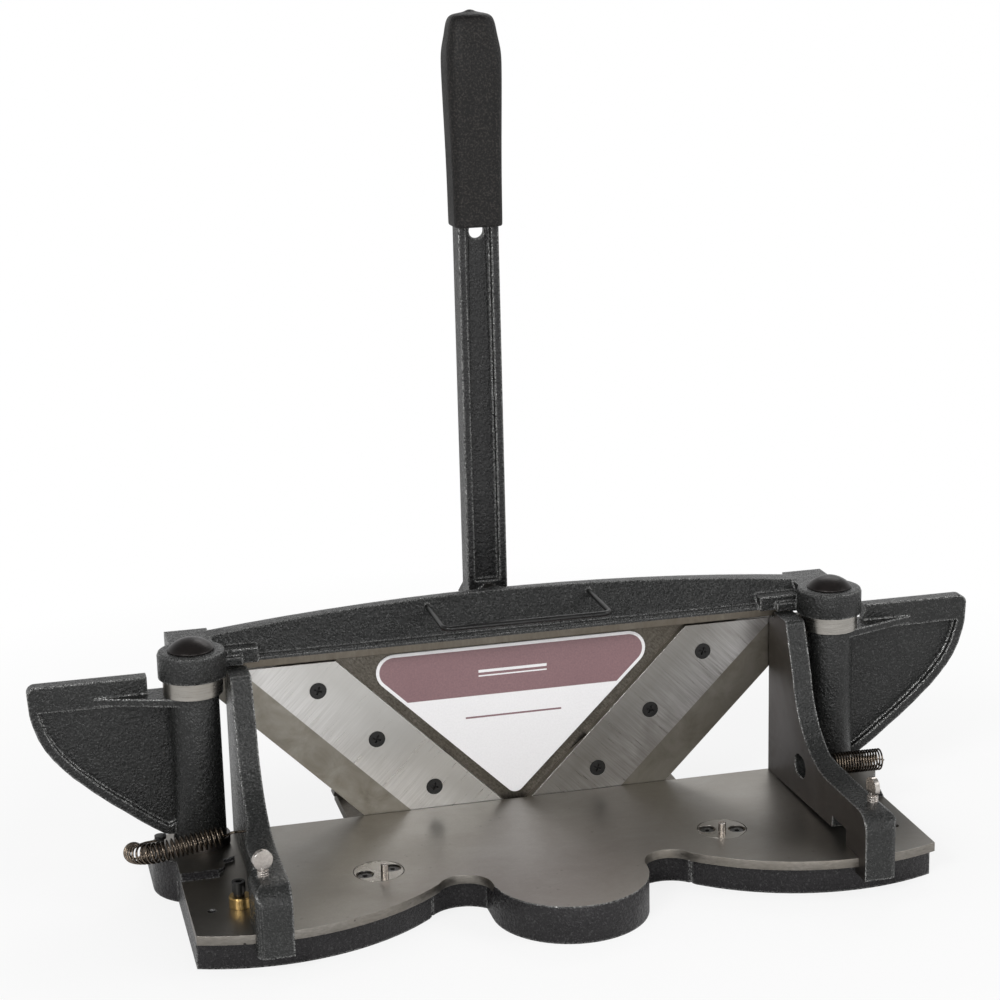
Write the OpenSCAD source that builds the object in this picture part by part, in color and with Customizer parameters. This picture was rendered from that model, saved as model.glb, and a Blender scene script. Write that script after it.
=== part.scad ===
// Mitre guillotine: a bench trimmer whose V-shaped knife carriage slides along the rear
// edge of a cast table. X runs along the cut, +Y points to the back, +Z is up. The origin
// is in the middle of the cutting plane, on the bench surface.

/* [Table] */
// Height of the table top above the bench
base_h = 23; // [20:0.5:30]
// Half of the width of the table
table_half_w = 220; // [216:1:230]
// Thickness of the machined rim of the table
rim_t = 5.5; // [4:0.5:7]
// How far the painted skirt stands in from the rim at the front
skirt_inset = 6.5; // [4:0.5:8]
// Radius of the front arcs, about the fence pivots
arc_r = 141; // [138:0.5:144]
// Radius of the middle lobe
lobe_r = 46.3; // [44:0.1:48]
// Where the centre of the lobe lies, in front of the cutting plane
lobe_y = -121.7; // [-124:0.1:-118]
// Radius of the round scallops beside the lobe
scallop_r = 16; // [14:0.5:18]

/* [Frame] */
// Distance of each post from the middle
post_x = 201.5; // [200:0.5:204]
// Where the posts stand, in front of the cutting plane
post_y = -18.5; // [-20:0.5:-18.5]
// Height of the bridge underside above the table
bridge_z = 105.5; // [104:0.5:108]
// Height of the arch above the table at its middle
arch_top = 133.9; // [130:0.1:138]
// Height of the post bosses of the bridge above the table
boss_top = 125.5; // [123:0.5:128]

/* [Knives] */
// Half gap between the knives' inner edges at table height
knife_in = 9.8; // [8:0.1:12]
// Width of a knife measured level
knife_w = 88.5; // [80:0.5:95]
// Top of the knives above the table
knife_top = 102.5; // [98:0.5:103]
// Thickness of a knife
knife_t = 5; // [4:0.5:6]
// Travel of the carriage to each side
travel = 90; // [70:1:90]

/* [Lever drive] */
// Height of the lever shaft above the table
shaft_z = 112; // [110:0.5:114]
// Number of teeth of the full quadrant circle
gear_teeth = 60; // [60]
// Module of the quadrant and the rack
gear_module = 3.5; // [3.5]
// Height of the lever tip above the table
lever_top = 486; // [440:1:500]
// Distance of the lever behind the cutting plane
lever_y = 74; // [70:1:78]

/* [Fences] */
// Distance of a fence face from the middle
fence_x = 168; // [168]
// Thickness of the upper wall of a fence
fence_t = 12.5; // [10:0.5:12.5]
// Distance of a fence pivot behind its face
pivot_off = 4; // [4]
// Where the fence pivots lie, in front of the cutting plane
pivot_y = -10.5; // [-10.5]

/* [Springs] */
// Diameter of the wire of the left spring
left_wire_d = 1.4; // [1:0.1:1.5]
// Diameter of the wire of the right spring
right_wire_d = 1.15; // [0.9:0.05:1.2]
// Outer diameter of the left spring
left_spring_d = 12.6; // [11:0.1:14]
// Outer diameter of the right spring
right_spring_d = 14; // [12:0.1:15]
// Distance from curl to curl on the stretched left spring
left_pitch = 2.9; // [2.4:0.1:3.4]
// Distance from curl to curl on the straight of the right spring
right_pitch = 1.8; // [1.8:0.1:2.4]

/* [Hidden] */

$fn = 48;
hair = 0.1;            // running gap of the sliding parts
pivot_x = fence_x + pivot_off;
knife_y = 0.6;         // front face of the knives
knife_out = knife_in + knife_w;
way_z = -10.5;         // top of the rear ledge under the carriage
ledge_y = 25;          // rear edge of the base
end_x = 232.5;         // half length of the rear bar of the base
clear_x = 240;         // half length of cuts that run out of both ends
groove_y = [7, 19];    // front and back of the lower groove
groove_z = -18;        // floor of the lower groove
channel_y = 2.6;       // front of the upper channel
channel_z = 109.5;     // roof of the upper channel
bead_z = 113;          // top of the bead above the machined strip
arch_back = 20;        // back of the arched wall
lean_y = 14.5;         // how far the front of that wall leans back
body_top = 117.6;      // top of the straight body behind it
bracket_top = 127;     // top of the lever bracket and of its seat
low_gib_x = [-150, -60, 60, 150];
high_gib_x = [-150, -80, 80, 150];
gib_z = [-14.3, 107.6];
gib_half = 178;
gib_screw_r = 1.45;
block_z = 109.6;       // underside of the end blocks, above the fences
bracket_x = [26, 42];
bracket_z = 119;       // height of the bracket bolts
hub_r = 12.5;
foot_y = [7.1, 16];    // front and back of the carriage foot
rail_y = [2.7, 12];    // front and back of the carriage top rail
strip_y = -4.5;        // machined front of the bridge
wall_y = [16, 26];     // front and back of the arched wall
pad_h = 3;             // rise of the pads under the posts
pad_x = 193;           // inner side of a pad
sleeve_r = 15;
core_r = 11;
collar_z = [99, 109.5];
sleeve_top = 98.9;
set_screw_z = 60;
boss_r = 20.3;
pitch_r = gear_module * gear_teeth / 2;
rack_y = [46, 56];
rack_pitch_z = shaft_z - pitch_r;
shelf_z = rack_pitch_z - 10.4;   // top of the shelf that carries the rack
rack_screw_x = [-90, 0, 90];
lever_w = 26;
lever_d = 16;
bail_z = 128.4;
bail_r = 1.6;
bail_end = 18;         // how far back the legs of the wire loop reach
arch_x = 190;
arch_curve = 1800;     // radius of the arch's top line
bail_x = 52;
foot_z = 29.5;         // top of the foot bar of a fence
foot_x = 188.4;        // outer side of a fence foot
bar_x = 184.3;         // outer side of the bar behind it
foot_round = 6;
thumb_pos = [181, -140];
collar_pos = [191.5, -110];
collar_ecc = 0.6;
disc_pos = [106.3, -85.7];
pin_pos = [104, -92.5];
hook_pos = [-56.6, 22.6];   // Y and Z of the spring hook hole of a fence
anchor_pos = [226, -12];
anchor_z = 4.5;        // height at which the springs meet their anchors
bench_pos = [207.7, -112.4];
bench_r = 2.5;
screw_line = 39.4;          // |x| - z of the knife screws
screw_z = [13.8, 49.15, 84.5];

paint = "#3e4040";
steel = "#a19d93";
dark_steel = "#77736c";
black_steel = "#2a2828";
brass = "#b08a3c";
rubber = "#1e1e1e";
plum = "#76525c";
nickel = "#c8c4bc";

// ---------- helpers ----------
module on_table() translate([0, 0, base_h]) children();
module xz(y0, y1) translate([0, y1, 0]) rotate([90, 0, 0]) linear_extrude(y1 - y0) children();
module yz(x0, x1) translate([x0, 0, 0]) rotate([90, 0, 90]) linear_extrude(x1 - x0) children();
module slab(z0, z1) translate([0, 0, z0]) linear_extrude(z1 - z0) children();
module box(x, y, z) translate([x[0], y[0], z[0]]) cube([x[1] - x[0], y[1] - y[0], z[1] - z[0]]);
module rod(p, r, h) translate(p) cylinder(r = r, h = h);
module rod_y(p, r, h) translate(p) rotate([-90, 0, 0]) cylinder(r = r, h = h);
module side(s) if (s < 0) mirror([1, 0, 0]) children(); else children();
module both() for (s = [-1, 1]) side(s) children();

function arc(c, r, a0, a1, n) = [for (i = [0 : n]) let (a = a0 + (a1 - a0) * i / n)
    [c[0] + r * cos(a), c[1] + r * sin(a)]];

// ---------- base ----------
module table_2d() {
    difference() {
        union() {
            translate([-table_half_w, -106]) square([2 * table_half_w, 106]);
            translate([-lobe_r, lobe_y]) square([2 * lobe_r, -lobe_y]);
            translate([0, lobe_y]) circle(lobe_r, $fn = 96);
            both() intersection() {
                translate([pivot_x, pivot_y]) circle(arc_r, $fn = 180);
                translate([75, -160]) square([table_half_w - 75, 100]);
            }
            both() translate([lobe_r - 1, lobe_y]) square([75.5 - lobe_r + 1, 20]);
        }
        both() translate([lobe_r + scallop_r, lobe_y]) circle(scallop_r);
        both() translate([lobe_r + 0.01, lobe_y - 20]) square([scallop_r * 2 - 4, 20]);
    }
}

module skirt_2d() {
    difference() {
        union() {
            translate([-table_half_w, -106]) square([2 * table_half_w, 106]);
            translate([-lobe_r, lobe_y]) square([2 * lobe_r, -lobe_y]);
            translate([0, lobe_y]) circle(lobe_r, $fn = 96);
            both() intersection() {
                translate([pivot_x, pivot_y]) circle(arc_r - skirt_inset, $fn = 180);
                translate([80, -160]) square([table_half_w - 80, 100]);
            }
        }
        both() intersection() {
            translate([lobe_r + scallop_r, lobe_y]) circle(scallop_r + skirt_inset);
            translate([lobe_r, lobe_y - 20]) square([60, 60]);
        }
    }
}

module pad_2d() intersection() {
    union() {
        translate([post_x, post_y]) circle(31);
        translate([pad_x + 6, -62]) square([table_half_w - pad_x - 6, 48]);
        translate([pad_x + 6, -56]) circle(6);
        translate([pad_x, -56]) square([table_half_w - pad_x, 42]);
    }
    translate([185.6, -65]) square([60, 65]);
}

module base_casting() color(paint) on_table() difference() {
    union() {
        slab(-rim_t, 0) table_2d();
        slab(-base_h, -rim_t) skirt_2d();
        both() slab(-base_h, pad_h) pad_2d();
        // sloped lip in front of each pad
        both() yz(pad_x + 4, table_half_w) polygon([[-61, 0.01], [-61, pad_h], [-62, pad_h],
            [-66, 1], [-68, -0.5], [-61, -0.5]]);
        box([-end_x, end_x], [post_y, ledge_y], [-base_h, way_z]);
    }
    box([-clear_x, clear_x], groove_y, [groove_z, way_z + 1]);
    box([-clear_x, clear_x], [0.3, ledge_y + 1], [way_z, 5]);
    both() {
        rod([post_x, post_y, -18], core_r, 30);
        rod([pivot_x, pivot_y, -14], 2.5, 20);
        rod([disc_pos[0], disc_pos[1], -4.1], 15.15, 5);
        rod([collar_pos[0], collar_pos[1], -14], 2.5, 20);
        rod([anchor_pos[0], anchor_pos[1], -8], 2, 20);
        rod([bench_pos[0], bench_pos[1], -base_h - 1], bench_r, base_h + 2);
    }
    both() for (a = [-1, 1]) rod(disc_screw_at(a, -16), 1.5, 13);
    for (x = low_gib_x) rod_y([x, groove_y[1] - 1, gib_z[0]], gib_screw_r + 0.05, 10);
}

function disc_screw_at(a, z) = [disc_pos[0] + a * 8.65, disc_pos[1] - a * 2.5, z];

module stop_discs() color(steel) on_table() both() difference() {
    rod([disc_pos[0], disc_pos[1], -4], 14.6, 3.9);
    rod([pin_pos[0], pin_pos[1], -5], 2.3, 6);
    for (a = [-1, 1]) {
        rod(disc_screw_at(a, -5), 1.8, 8);
        rod(disc_screw_at(a, -2.6), 5.4, 8);
    }
}

module stop_pins() color(nickel) on_table() both() translate([pin_pos[0], pin_pos[1], -4])
    rotate_extrude() polygon([[0, 0], [2.3, 0], [2.3, 10.9], [1.7, 11.5], [0, 11.5]]);

module disc_screws() color(steel) on_table() both() for (a = [-1, 1]) difference() {
    union() {
        rod(disc_screw_at(a, -12), 1.45, 10);
        rod(disc_screw_at(a, -2.58), 4.1, 1.5);
    }
    translate(disc_screw_at(a, -2.6)) cylinder(r = 1.7, h = 3, $fn = 6);
}

// ---------- posts, collars, bridge ----------
module post() on_table() {
    rod([post_x, post_y, -18], core_r, 18 + collar_z[1] + 6);
    difference() {
        rod([post_x, post_y, pad_h], 17, 5);
        rod([post_x, post_y, pad_h - 1], core_r - 0.5, 8);
    }
}
module bored_post() difference() {
    post();
    on_table() rod([post_x, post_y, 70], 5, 60);
}
module post_left() color(dark_steel) side(-1) bored_post();
module post_right() color(dark_steel) side(1) bored_post();

module post_collars() color(steel) on_table() both() difference() {
    rod([post_x, post_y, collar_z[0]], 17.8, collar_z[1] - collar_z[0]);
    rod([post_x, post_y, collar_z[0] - 1], core_r, 20);
}

module post_bolts() color(black_steel) on_table() both() difference() {
    union() {
        rod([post_x, post_y, 72], 4.95, 45);
        rod([post_x, post_y, 117], 8, 7);
    }
    translate([post_x, post_y, 120]) cylinder(r = 5.5, h = 8, $fn = 6);
}

// A low dome of 28 mm across whose spigot plugs the bolt hole of the boss
module dome_caps() color(black_steel) on_table() both() translate([post_x, post_y, boss_top])
    rotate_extrude($fn = 64) polygon(concat(
        [[0, -1.2], [8.9, -1.2], [8.9, 0], [13.8, 0], [14, 0.4], [13.8, 1]],
        arc([0, -10.9], 18.2, 40.8, 90, 10)));

module bridge_section() polygon([
    [strip_y, bridge_z], [strip_y, bead_z - 3.2], [-4.1, bead_z - 1.7], [-3.1, bead_z - 0.6],
    [-1.7, bead_z], [0, bead_z], [wall_y[0], body_top], [wall_y[1], body_top],
    [wall_y[1], bridge_z], [wall_y[0], bridge_z], [wall_y[0], channel_z],
    [channel_y, channel_z], [channel_y, bridge_z]]);

module arch_2d() intersection() {
    translate([-arch_x, bridge_z]) square([2 * arch_x, 40]);
    translate([0, arch_top - arch_curve]) circle(arch_curve, $fn = 720);
}

module bridge_casting() color(paint) on_table() difference() {
    union() {
        yz(-181, 181) bridge_section();
        difference() {
            xz(0, arch_back) arch_2d();
            yz(-200, 200) polygon([[-1, bead_z - 0.01], [0, bead_z - 0.01], [lean_y, arch_top + 0.6],
                [lean_y, 150], [-1, 150]]);
        }
        // seat of the lever bracket
        box([-52, 52], [wall_y[0], wall_y[1]], [body_top - 5, bracket_top]);
        both() {
            // end block that joins the strip, the boss and the wall
            box([187, 213], [-6, wall_y[1]], [channel_z, boss_top - 1.7]);
            box([160, 195], [-6.5, wall_y[0]], [block_z, body_top + 1]);
            box([170, 190], [-10, -6], [block_z, body_top - 3]);
            translate([post_x, post_y, collar_z[1]]) rotate_extrude() polygon([
                [0, 0], [boss_r, 0], [boss_r, boss_top - collar_z[1] - 2.4],
                [boss_r - 0.7, boss_top - collar_z[1] - 0.7],
                [boss_r - 2.4, boss_top - collar_z[1]], [0, boss_top - collar_z[1]]]);
        }
    }
    both() {
        rod([post_x, post_y, 100], core_r, 15.55);
        rod([post_x, post_y, 110], 5, 30);
        rod([post_x, post_y, 117], 9, 20);
        rod_y([bail_x, 4, bail_z], bail_r, bail_end - 3.9);
        for (x = bracket_x) rod_y([x, 18, bracket_z], 4, 12);
    }
    for (x = high_gib_x) rod_y([x, wall_y[0] - 1, gib_z[1]], gib_screw_r + 0.05, 14);
    // underside of the channel stays open past the ends for the top rail
    box([-260, 260], [channel_y, wall_y[0]], [100, channel_z]);
}

module wire_bail() color(black_steel) on_table() {
    bar_y = -37.4;
    bend = 5;
    both() {
        rod_y([bail_x, bar_y + bend, bail_z], bail_r, bail_end - bar_y - bend);
        translate([bail_x - bend, bar_y + bend, bail_z]) rotate([0, 0, -90])
            rotate_extrude(angle = 90, $fn = 32) translate([bend, 0]) circle(bail_r);
    }
    translate([-bail_x + bend, bar_y, bail_z]) rotate([0, 90, 0])
        cylinder(r = bail_r, h = 2 * (bail_x - bend));
}

// ---------- guards ----------
// Lower edge of a wing from the sleeve to the tip
wing_pts = [[223, 9], [230, 13.7], [236.5, 18.4], [242, 22.8], [247.5, 27.2], [253, 31.3],
            [258.5, 36], [264, 40.6], [269.3, 45.7], [275, 50.8], [280.4, 56.8], [285.8, 63.4],
            [290, 69.8], [293.5, 77], [296.3, 86], [297.6, 92]];
wing_y = [-13.6, -5];  // front and back of a wing
wing_top = 109.3;
wing_rib = 5.6;        // width of the rib along the lower edge
function inward(v, d) = [for (i = [0 : len(v) - 1])
    let (a = v[max(0, i - 1)], b = v[min(len(v) - 1, i + 1)], t = (b - a) / norm(b - a))
    [v[i][0] - d * t[1], v[i][1] + d * t[0]]];
module wing_outline() polygon(concat(
    [[post_x, 8.4], [220, 8.4]], wing_pts,
    arc([293.3, wing_top - 5], 5, 0, 90, 6),
    [[228, wing_top], [228, sleeve_top], [post_x, sleeve_top]]));
module wing_panel() polygon(concat(
    [[post_x + 8, 92.2], [post_x + 8, 19]], inward(wing_pts, wing_rib)));

module guard() on_table() difference() {
    union() {
        rod([post_x, post_y, 8.2], sleeve_r, sleeve_top - 8.2);
        xz(wing_y[0], wing_y[1]) difference() {
            wing_outline();
            wing_panel();
        }
        xz(wing_y[1] - 4.4, wing_y[1]) wing_outline();
        // fin that joins the top rail to the front of the sleeve
        slab(94.2, sleeve_top) polygon([[post_x, -33.4], [post_x + 9, -30.5], [232, -23],
            [250, -16.5], [260, wing_y[0]], [260, wing_y[0] + 2], [post_x, wing_y[0] + 2]]);
    }
    rod([post_x, post_y, 0], core_r, 120);
    rod_y([post_x, post_y + core_r - 1, set_screw_z], 2, 6);
}
module guard_left() color(paint) side(-1) guard();
module guard_right() color(paint) side(1) guard();

module guard_set_screws() color(black_steel) on_table() both() difference() {
    rod_y([post_x, post_y + core_r + 0.02, set_screw_z], 1.95, 3.8);
    translate([post_x, post_y + sleeve_r - 1.6, set_screw_z]) rotate([-90, 0, 0])
        cylinder(r = 1.1, h = 3, $fn = 6);
}

// ---------- gibs ----------
module lower_gib() color(steel) on_table()
    box([-gib_half, gib_half], [foot_y[1] + hair, groove_y[1] - 0.05], [groove_z + 0.2, way_z - 0.3]);
module upper_gib() color(steel) on_table()
    box([-gib_half, gib_half], [rail_y[1] + hair, wall_y[0] - 0.05], [bridge_z + 0.3, channel_z - 0.2]);
module gib_screws() color(black_steel) on_table() {
    for (x = low_gib_x) rod_y([x, groove_y[1] - 0.05, gib_z[0]], gib_screw_r, 12);
    for (x = high_gib_x) rod_y([x, wall_y[0], gib_z[1]], gib_screw_r, 15);
}
module nut_y(p, af, bore, h) translate(p) rotate([-90, 0, 0]) difference() {
    cylinder(r = af / 2 / cos(30), h = h, $fn = 6);
    translate([0, 0, -1]) cylinder(r = bore, h = h + 2);
}
module gib_locknuts() color(dark_steel) on_table() {
    for (x = low_gib_x) nut_y([x, ledge_y, gib_z[0]], 5.5, gib_screw_r + 0.05, 2.6);
    for (x = high_gib_x) nut_y([x, wall_y[1], gib_z[1]], 5.5, gib_screw_r + 0.05, 2.6);
}

// ---------- lever bracket ----------
module lever_bracket() color(paint) on_table() difference() {
    union() {
        box([-52, 52], [wall_y[1], wall_y[1] + 8], [shaft_z - 8, bracket_top]);
        box([-18, 18], [wall_y[1], wall_y[1] + 8], [shaft_z - 20, shaft_z]);
        rod_y([0, wall_y[1], shaft_z], 15, 19.5);
        for (x = [-5, 5]) yz(x - 2, x + 2) polygon([[wall_y[1] + 7, shaft_z - 20],
            [wall_y[1] + 18, shaft_z - 12], [wall_y[1] + 7, shaft_z - 4]]);
    }
    rod_y([0, wall_y[1] - 1, shaft_z], 10, 30);
    rod_y([0, wall_y[1] - 1, shaft_z], 12.4, 4);
    for (s = [-1, 1], x = bracket_x) rod_y([s * x, wall_y[1] - 1, bracket_z], 4.2, 12);
}
module bracket_bolts() color(black_steel) on_table()
    for (s = [-1, 1], x = bracket_x) difference() {
        union() {
            rod_y([s * x, 18.5, bracket_z], 3.95, 15.5);
            rod_y([s * x, wall_y[1] + 8, bracket_z], 6.2, 7.5);
        }
        translate([s * x, wall_y[1] + 12, bracket_z]) rotate([-90, 0, 0])
            cylinder(r = 3.5, h = 5, $fn = 6);
    }
module pivot_bush() color(brass) on_table() difference() {
    rod_y([0, 29.05, shaft_z], 9.98, 16.6);
    rod_y([0, 28, shaft_z], 8.05, 20);
}

// ---------- carriage ----------
module carriage_casting() color(dark_steel) on_table() difference() {
    union() {
        xz(knife_y + knife_t, 13) polygon([[-66, -8], [66, -8], [176, 102.2], [-176, 102.2]]);
        box([-148, 148], [rail_y[0], rail_y[1]], [102.9, channel_z - 0.3]);
        box([-148, 148], [knife_y + knife_t, rail_y[1]], [102, 103]);
        box([-80, 80], [foot_y[0], foot_y[1]], [-17.6, -7]);
        box([-108, 108], [knife_y + knife_t, rack_y[1]], [-9.6, shelf_z]);
        for (x = [-70, 70]) yz(x - 4, x + 4)
            polygon([[12, -9], [44, -9], [44, -3.5], [26, 30], [20, 78], [12, 92]]);
    }
    for (s = [-1, 1], z = screw_z) rod_y([s * (screw_line + z), 5, z], 3, 10);
    for (x = rack_screw_x) {
        rod([x, 51, -15], 2.6, 20);
        rod([x, 51, -15], 4.6, 8.6);
    }
}

module knife() on_table() difference() {
    xz(knife_y, knife_y + knife_t) polygon([
        [knife_in - 8, -8], [knife_out - 8, -8],
        [knife_out + knife_top, knife_top], [knife_in + knife_top, knife_top]]);
    knife_bevel();
    for (z = screw_z) {
        rod_y([screw_line + z, 0, z], 3.15, 8);
        translate([screw_line + z, knife_y - 0.01, z]) rotate([-90, 0, 0])
            cylinder(r1 = 5.35, r2 = 3.1, h = 2.6);
    }
}
// wedge that leaves the edge 0.6 mm thick and reaches full thickness 14 mm inside
module knife_bevel() translate([knife_out - 8, 0, -8]) rotate([0, -45, 0])
    linear_extrude(400, center = true) polygon([
        [0.5, knife_y + 0.6], [0.5, knife_y + knife_t + 1],
        [-14, knife_y + knife_t + 1], [-14, knife_y + knife_t], [0, knife_y + 0.6]]);
module knife_left() color(steel) side(-1) knife();
module knife_right() color(steel) side(1) knife();

module knife_screws() color(black_steel) on_table() for (s = [-1, 1], z = screw_z)
    difference() {
        union() {
            translate([s * (screw_line + z), knife_y + 0.05, z]) rotate([-90, 0, 0])
                cylinder(r1 = 5.25, r2 = 2.95, h = 2.6);
            rod_y([s * (screw_line + z), knife_y + 2, z], 2.95, 9.5);
        }
        for (a = [20, 110]) translate([s * (screw_line + z), knife_y, z]) rotate([0, a, 0])
            box([-2.6, 2.6], [-1, 1.9], [-0.55, 0.55]);
    }

module face_plate() color(plum) on_table() xz(knife_y + knife_t - 1, knife_y + knife_t) hull() {
    for (x = [-75.3, 75.3]) translate([x, 90.1]) circle(11.5, $fn = 32);
    translate([0, 8.7]) circle(6, $fn = 32);
}

// ---------- quadrant and rack ----------
pressure = 20;
add = 0.9 * gear_module;
ded = 1.2 * gear_module;
backlash = 0.3;
tooth_pitch = PI * gear_module;
function inv(a) = tan(a) - a * PI / 180;
base_r = pitch_r * cos(pressure);
// half angle of a tooth at radius r, in degrees
function half_tooth(r) = let (a = acos(min(1, base_r / r)))
    (tooth_pitch / 2 - backlash) / 2 / pitch_r * 180 / PI + (inv(pressure) - inv(a)) * 180 / PI;
flank_r = [for (i = [0 : 5]) pitch_r - ded + i * (add + ded) / 5];
function tooth(a0) = concat(
    [for (r = flank_r) let (a = a0 - half_tooth(max(r, base_r))) [r * sin(a), -r * cos(a)]],
    [for (i = [5 : -1 : 0]) let (r = flank_r[i], a = a0 + half_tooth(max(r, base_r)))
        [r * sin(a), -r * cos(a)]]);

module toothed_quadrant() color(dark_steel) on_table() translate([0, 0, shaft_z]) difference() {
    union() {
        xz(rack_y[0], rack_y[1]) difference() {
            polygon(concat(
                [for (k = [-9 : 9]) each tooth(k * 360 / gear_teeth)],
                [[13 * cos(25), 13 * sin(25)], [0, 14], [-13 * cos(25), 13 * sin(25)]]));
            for (a = [-30, 0, 30]) rotate(a) translate([0, -62]) circle(12);
        }
        rod_y([0, rack_y[0] - 0.2, 0], 12, rack_y[1] + 2 - rack_y[0]);
    }
    rod_y([0, 40, 0], 8, 30);
    box([-2.5, 2.5], [40, 70], [0, 10.2]);
}

module rack() color(dark_steel) on_table() difference() {
    xz(rack_y[0], rack_y[1]) polygon(concat(
        [[-110, shelf_z]],
        [for (k = [-10 : 9]) let (c = (k + 0.5) * tooth_pitch,
            h = (tooth_pitch / 2 - backlash) / 2, t = tan(pressure))
            each [[c - h - ded * t, rack_pitch_z - ded], [c - h + add * t, rack_pitch_z + add],
                  [c + h - add * t, rack_pitch_z + add], [c + h + ded * t, rack_pitch_z - ded]]],
        [[110, shelf_z]]));
    for (x = rack_screw_x) rod([x, 51, -10], 2.55, 17);
}
module rack_screws() color(black_steel) on_table() for (x = rack_screw_x) {
    rod([x, 51, -9.4], 4.3, 3);
    rod([x, 51, -7], 2.5, 9);
}

// ---------- lever ----------
module pivot_shaft() color(steel) on_table() difference() {
    union() {
        rod_y([0, 26.3, shaft_z], 12, 2.5);
        rod_y([0, 28, shaft_z], 8, 64);
    }
    box([-2.5, 2.5], [45.5, 81.9], [shaft_z + 5, shaft_z + 9]);
}
module drive_key() color(steel) on_table()
    box([-2.48, 2.48], [46, 81.8], [shaft_z + 5.05, shaft_z + 10]);

lever_end = lever_top - 16;
module lever() color(paint) on_table() difference() {
    union() {
        box([-lever_w / 2, lever_w / 2], [lever_y - lever_d / 2, lever_y + lever_d / 2],
            [shaft_z, lever_end]);
        rod_y([0, lever_y - lever_d / 2, shaft_z], hub_r, lever_d);
        rod_y([0, 58.2, shaft_z], 9.7, lever_y - lever_d / 2 - 57);
    }
    rod_y([0, 50, shaft_z], 8, 40);
    box([-2.5, 2.5], [50, 90], [shaft_z, shaft_z + 10.2]);
    for (y = [[lever_y - 9, lever_y - 2.5], [lever_y + 2.5, lever_y + 9]])
        box([-8, 8], y, [shaft_z + hub_r + 0.5, lever_end - 4]);
    rod_y([0, 60, 350.8], 4.9, 30);
}
module lever_washer() color(steel) on_table() difference() {
    rod_y([0, 82, shaft_z], hub_r, 2.4);
    rod_y([0, 81, shaft_z], 8.2, 6);
}
module lever_nut() color(black_steel) on_table() nut_y([0, 84.4, shaft_z], 24, 8, 8);

// Rounded bar cross-section of the grip at a height z
module grip_slice(z, w, d, r) translate([0, lever_y, z]) linear_extrude(0.1)
    hull() for (x = [-1, 1], y = [-1, 1])
        translate([x * (w / 2 - r), y * (d / 2 - r)]) circle(r, $fn = 20);
module grip() color(rubber) on_table() difference() {
    union() {
        hull() {
            grip_slice(354, 31, 27.5, 6);
            grip_slice(380, 31.6, 28, 6.5);
        }
        hull() {
            grip_slice(380, 31.6, 28, 6.5);
            grip_slice(457, 35, 31, 8);
        }
        hull() {
            grip_slice(457, 35, 31, 8);
            grip_slice(lever_top - 10, 29.8, 26, 9);
        }
        hull() {
            grip_slice(lever_top - 10, 29.8, 26, 9);
            grip_slice(lever_top - 2.4, 20, 17.5, 7.5);
        }
        rod([0, lever_y, lever_top - 6], 3, 6);
    }
    box([-lever_w / 2 - 0.05, lever_w / 2 + 0.05],
        [lever_y - lever_d / 2 - 0.05, lever_y + lever_d / 2 + 0.05], [340, lever_end + 0.1]);
}

// ---------- fences ----------
fence_arc_c = [-101, foot_z + 59.9];
module fence_profile() polygon(concat(
    [[-0.9, 0.15], [-0.9, bridge_z - 0.9], [-9, bridge_z - 0.9], [-9, 108.8], [-28.5, 108.8],
     [-30.3, 107]],
    arc(fence_arc_c, 59.9, -12, -90, 12),
    arc([-149.5, foot_z - 11.5], 11.5, 90, 180, 8),
    [[-161, -11], [-131.6, -11], [-131.6, 0.15], [-109.5, 0.15], [-109.5, 3],
     [-16, 0.5], [-16, 0.15]]));
module fence_plan() polygon(concat([
    [fence_x, -0.9], [fence_x + fence_t, -0.9], [fence_x + fence_t, -75], [bar_x, -92],
    [bar_x, -127], [foot_x, -131.5]], arc([foot_x - 5, -156], 5, 0, -90, 5), [[fence_x, -161]]));
module obround(y, z, w, h) hull() for (s = [-1, 1])
    translate([y + s * (w - h) / 2, z]) circle(h / 2, $fn = 32);

module fence() on_table() difference() {
    intersection() {
        yz(fence_x, 192) fence_profile();
        slab(-12, 120) fence_plan();
    }
    rod([pivot_x, pivot_y, -12], arc_r + 0.4, 12.15);
    // pocket that drops over the 45 degree stop pin
    box([fence_x - 1, pivot_x + 12.35], [-131.6, -109.5], [-5, 10.4]);
    rod([pivot_x, pivot_y, -1], 2.55, 14.2);
    rod([thumb_pos[0], thumb_pos[1], -1], 3.05, 40);
    yz(fence_x - 1, fence_x + 8) obround(hook_pos[0], hook_pos[1], 19, 14);
    translate([fence_x, hook_pos[0], hook_pos[1]]) rotate([0, 90, 0]) cylinder(r = 2, h = 30);
    // rounded outer edge of the foot
    xz(-162, -128) difference() {
        translate([foot_x - foot_round, foot_z - foot_round]) square(2 * foot_round);
        translate([foot_x - foot_round, foot_z - foot_round]) circle(foot_round);
    }
}
// lip of the foot that reaches under the rim of the table
module fence_lip() on_table() intersection() {
    difference() {
        rod([pivot_x, pivot_y, -11], arc_r + 3, 5.1);
        rod([pivot_x, pivot_y, -12], arc_r - 5, 8);
    }
    slab(-12, 0) polygon([[fence_x, -130], [foot_x, -132], [foot_x, -155], [fence_x, -155]]);
}
module fence_left() color(paint) side(-1) { fence(); fence_lip(); }
module fence_right() color(paint) side(1) { fence(); fence_lip(); }

module fence_pivot_pins() color(steel) on_table() both()
    rod([pivot_x, pivot_y, -13.9], 2.5, 26.5);

module thumb_screw(turn) on_table() translate([thumb_pos[0], thumb_pos[1], 0]) {
    rod([0, 0, 0.25], 3, 33);
    rod([0, 0, 32], 2.2, 3);
    rotate([0, 0, turn]) intersection() {
        translate([0, -1.5, 39.2]) rotate([-90, 0, 0]) cylinder(r = 5.8, h = 3);
        box([-7, 7], [-2, 2], [33.6, 47]);
    }
}
module thumb_screw_left() color(nickel) side(-1) thumb_screw(-14);
module thumb_screw_right() color(nickel) side(1) thumb_screw(-83);

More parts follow.
